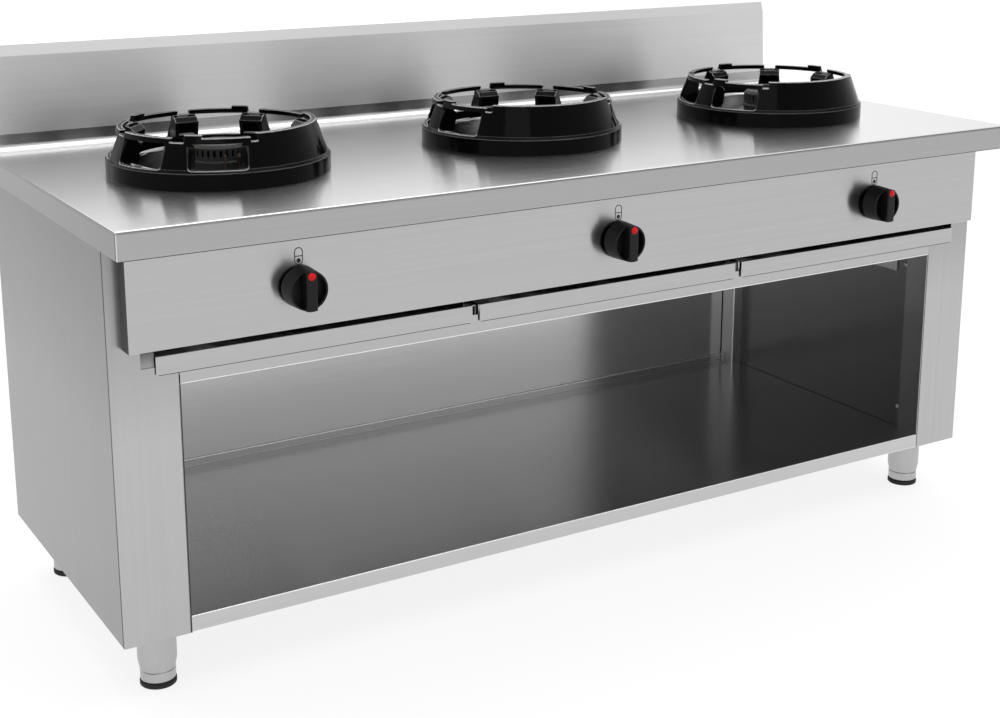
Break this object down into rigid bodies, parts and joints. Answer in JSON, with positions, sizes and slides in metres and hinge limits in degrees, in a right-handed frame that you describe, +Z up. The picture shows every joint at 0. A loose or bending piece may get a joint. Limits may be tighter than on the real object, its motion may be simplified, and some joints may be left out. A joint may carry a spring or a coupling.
{
  "type": "wok range",
  "caption": "Free-standing gas wok range: round black wok rings on a stainless worktop with splashback, push-and-turn knobs, pull-out drip trays and an open base on legs.",
  "frame": {"origin": "on the floor, in the middle of the range's width and depth", "axes": "+X to the right as seen from the knobs, +Y to the back, +Z up"},
  "size_m": [1.8, 0.75, 0.97],
  "materials": {
    "worktop_steel": "satin",
    "brushed_steel": "brushed",
    "shelf_steel": "satin",
    "inner_steel": "satin",
    "bright_steel": "polished",
    "leg_steel": "satin",
    "zinc_pipe": "satin",
    "brass": "satin",
    "copper": "satin",
    "black_enamel": "gloss enamel",
    "cast_iron": "matt",
    "black_plastic": "satin",
    "red_plastic": "gloss",
    "black_rubber": "matt"
  },
  "bodies": {
    "range": {"back_panel": "inner_steel", "bottom_shelf": "shelf_steel", "burner_hangers": "inner_steel", "control_panel": "brushed_steel", "front_rail": "brushed_steel", "gas_inlet": "brass", "gas_manifold": "zinc_pipe", "injector_pipes": "brass", "left_burner_body": "cast_iron", "left_burner_bowl": "bright_steel", "left_burner_crown": "cast_iron", "left_gas_valve": "brass", "left_side_panel": "brushed_steel", "left_wok_ring": "black_enamel", "leg_tubes": "leg_steel", "liner_screws": "bright_steel", "manifold_brackets": "zinc_pipe", "middle_burner_body": "cast_iron", "middle_burner_bowl": "bright_steel", "middle_burner_crown": "cast_iron", "middle_gas_valve": "brass", "middle_wok_ring": "black_enamel", "pilot_burners": "brass", "rear_posts": "inner_steel", "right_burner_body": "cast_iron", "right_burner_bowl": "bright_steel", "right_burner_crown": "cast_iron", "right_gas_valve": "brass", "right_side_panel": "brushed_steel", "right_wok_ring": "black_enamel", "shelf_stiffener": "inner_steel", "side_liners": "inner_steel", "splashback": "brushed_steel", "thermocouples": "copper", "tray_runners": "inner_steel", "tray_side_rails": "inner_steel", "worktop": "worktop_steel"},
    "left_tray": {"left_drip_tray": "brushed_steel"},
    "left_tap": {"left_tap_cone": "brass"},
    "left_knob_and_spindle": {"left_valve_spindle": "bright_steel", "left_knob": "black_plastic", "left_knob_dot": "red_plastic"},
    "middle_tray": {"middle_drip_tray": "brushed_steel"},
    "middle_tap": {"middle_tap_cone": "brass"},
    "middle_knob_and_spindle": {"middle_valve_spindle": "bright_steel", "middle_knob": "black_plastic", "middle_knob_dot": "red_plastic"},
    "right_tray": {"right_drip_tray": "brushed_steel"},
    "right_tap": {"right_tap_cone": "brass"},
    "right_knob_and_spindle": {"right_valve_spindle": "bright_steel", "right_knob": "black_plastic", "right_knob_dot": "red_plastic"},
    "front_left_foot": {"front_left_leg_insert": "leg_steel", "front_left_leg_pad": "black_rubber"},
    "front_right_foot": {"front_right_leg_insert": "leg_steel", "front_right_leg_pad": "black_rubber"},
    "rear_left_foot": {"rear_left_leg_insert": "leg_steel", "rear_left_leg_pad": "black_rubber"},
    "rear_right_foot": {"rear_right_leg_insert": "leg_steel", "rear_right_leg_pad": "black_rubber"}
  },
  "joints": [
    {"name": "left_tray_slide", "type": "slide", "parent": "range", "child": "left_tray", "axis": [0, -1, 0], "range_m": [0, 0.4]},
    {"name": "left_tap_turn", "type": "hinge", "parent": "range", "child": "left_tap", "pos_m": [-0.6, -0.3055, 0.65], "axis": [0, -1, 0], "range_deg": [0, 180]},
    {"name": "left_knob_push", "type": "slide", "parent": "left_tap", "child": "left_knob_and_spindle", "axis": [0, 1, 0], "range_m": [0, 0.004], "stiffness_N_per_m": 1500},
    {"name": "middle_tray_slide", "type": "slide", "parent": "range", "child": "middle_tray", "axis": [0, -1, 0], "range_m": [0, 0.4]},
    {"name": "middle_tap_turn", "type": "hinge", "parent": "range", "child": "middle_tap", "pos_m": [0, -0.3055, 0.65], "axis": [0, -1, 0], "range_deg": [0, 180]},
    {"name": "middle_knob_push", "type": "slide", "parent": "middle_tap", "child": "middle_knob_and_spindle", "axis": [0, 1, 0], "range_m": [0, 0.004], "stiffness_N_per_m": 1500},
    {"name": "right_tray_slide", "type": "slide", "parent": "range", "child": "right_tray", "axis": [0, -1, 0], "range_m": [0, 0.4]},
    {"name": "right_tap_turn", "type": "hinge", "parent": "range", "child": "right_tap", "pos_m": [0.6, -0.3055, 0.65], "axis": [0, -1, 0], "range_deg": [0, 180]},
    {"name": "right_knob_push", "type": "slide", "parent": "right_tap", "child": "right_knob_and_spindle", "axis": [0, 1, 0], "range_m": [0, 0.004], "stiffness_N_per_m": 1500},
    {"name": "front_left_foot_screw", "type": "hinge", "parent": "range", "child": "front_left_foot", "pos_m": [-0.824, -0.227, 0.028], "axis": [0, 0, 1], "continuous": true},
    {"name": "front_right_foot_screw", "type": "hinge", "parent": "range", "child": "front_right_foot", "pos_m": [0.824, -0.227, 0.028], "axis": [0, 0, 1], "continuous": true},
    {"name": "rear_left_foot_screw", "type": "hinge", "parent": "range", "child": "rear_left_foot", "pos_m": [-0.824, 0.257, 0.028], "axis": [0, 0, 1], "continuous": true},
    {"name": "rear_right_foot_screw", "type": "hinge", "parent": "range", "child": "rear_right_foot", "pos_m": [0.824, 0.257, 0.028], "axis": [0, 0, 1], "continuous": true}
  ]
}
